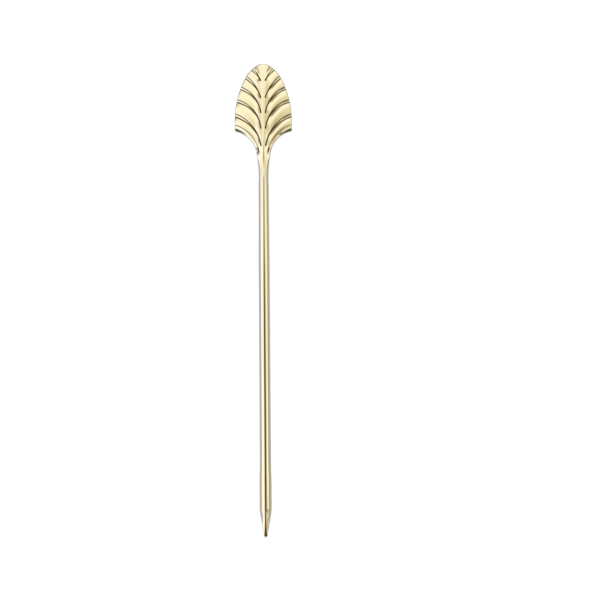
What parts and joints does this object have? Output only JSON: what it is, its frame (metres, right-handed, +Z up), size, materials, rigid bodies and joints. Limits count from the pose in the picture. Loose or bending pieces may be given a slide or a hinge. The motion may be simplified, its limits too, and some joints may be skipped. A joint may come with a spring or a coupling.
{
  "type": "cocktail pick",
  "caption": "Metal cocktail pick with a round tapered shaft, a sharpened tip and a fluted palmette-shaped head.",
  "frame": {"origin": "under the middle of the pick's length, on the surface that it lies on", "axes": "+Y along the pick to the top of its head, -Y to its tip, +X across the head, +Z up out of the fluted front"},
  "size_m": [0.0138, 0.1142, 0.0029],
  "materials": {
    "gilt_metal": "polished pale gold plating"
  },
  "bodies": {
    "root": {"cocktail_pick": "gilt_metal"}
  },
  "joints": []
}
